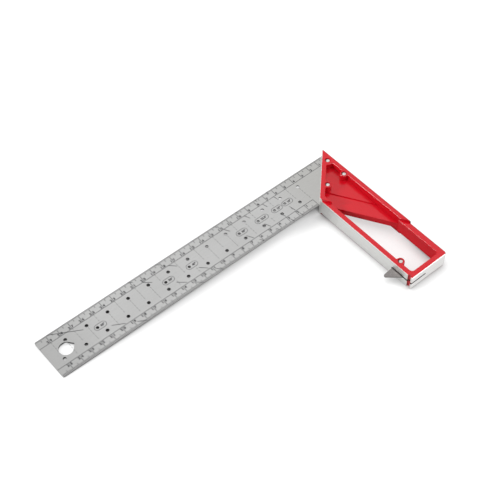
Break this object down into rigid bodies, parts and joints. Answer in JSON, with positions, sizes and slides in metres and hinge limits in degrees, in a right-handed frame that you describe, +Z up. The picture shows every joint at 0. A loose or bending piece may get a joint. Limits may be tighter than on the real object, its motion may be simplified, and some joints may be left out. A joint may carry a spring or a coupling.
{
  "type": "layout square",
  "caption": "Layout square: a flat steel rule riveted into a cast stock at a right angle, with a mitre face, scribing holes, a hand opening and a support ledge that swings out.",
  "frame": {"origin": "inside corner, where the blade's inner edge meets the stock's inner face, on the blade's middle plane", "axes": "+X along the blade to its free end, +Y along the stock to its free end, +Z up from the blade's face"},
  "size_m": [0.3, 0.148, 0.019],
  "materials": {
    "stock_paint": "cast metal painted red, with bare machined working faces",
    "blade_steel": "satin stainless steel with dark etched marks",
    "ledge_steel": "matt grey steel",
    "rivet_metal": "bright peened metal",
    "washer_steel": "plain thin steel"
  },
  "bodies": {
    "square": {"stock": "stock_paint", "blade": "blade_steel", "blade_rivet_tip": "rivet_metal", "blade_rivet_back": "rivet_metal", "blade_rivet_mitre": "rivet_metal", "ledge_rivet": "rivet_metal", "ledge_washer_upper": "washer_steel", "ledge_washer_lower": "washer_steel"},
    "ledge": {"ledge": "ledge_steel"}
  },
  "joints": [
    {"name": "ledge_pivot", "type": "hinge", "parent": "square", "child": "ledge", "pos_m": [-0.0058, 0.0894, 0], "axis": [0, 0, 1], "range_deg": [0, 84]}
  ]
}
